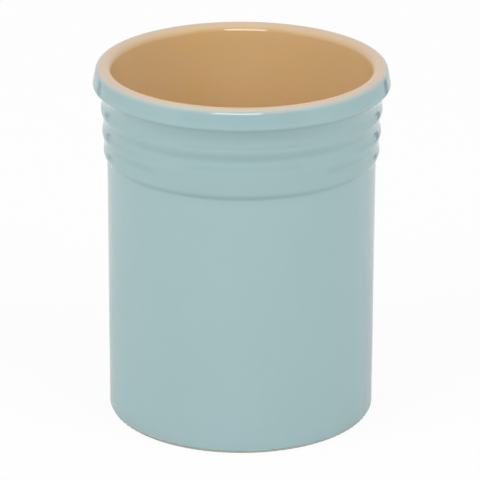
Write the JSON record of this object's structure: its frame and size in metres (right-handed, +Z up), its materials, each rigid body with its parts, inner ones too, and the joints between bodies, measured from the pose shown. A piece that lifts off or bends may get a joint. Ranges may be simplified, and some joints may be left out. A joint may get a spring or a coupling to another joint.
{
  "type": "utensil crock",
  "caption": "Straight-sided round stoneware crock with a thick collar rim, soft ribs and a bare panel below it, glazed inside and out, open at the top to hold cooking tools.",
  "frame": {"origin": "on the crock's axis at the underside of the foot ring", "axes": "+Z up along the axis towards the open mouth, -Y towards the bare panel at the front, +X to the right"},
  "size_m": [0.1222, 0.1222, 0.15],
  "materials": {
    "stoneware": "matte",
    "blue_glaze": "gloss",
    "cream_glaze": "gloss"
  },
  "bodies": {
    "root": {"stoneware_body": "stoneware", "outer_glaze": "blue_glaze", "inner_glaze": "cream_glaze", "underside_glaze": "cream_glaze"}
  },
  "joints": []
}
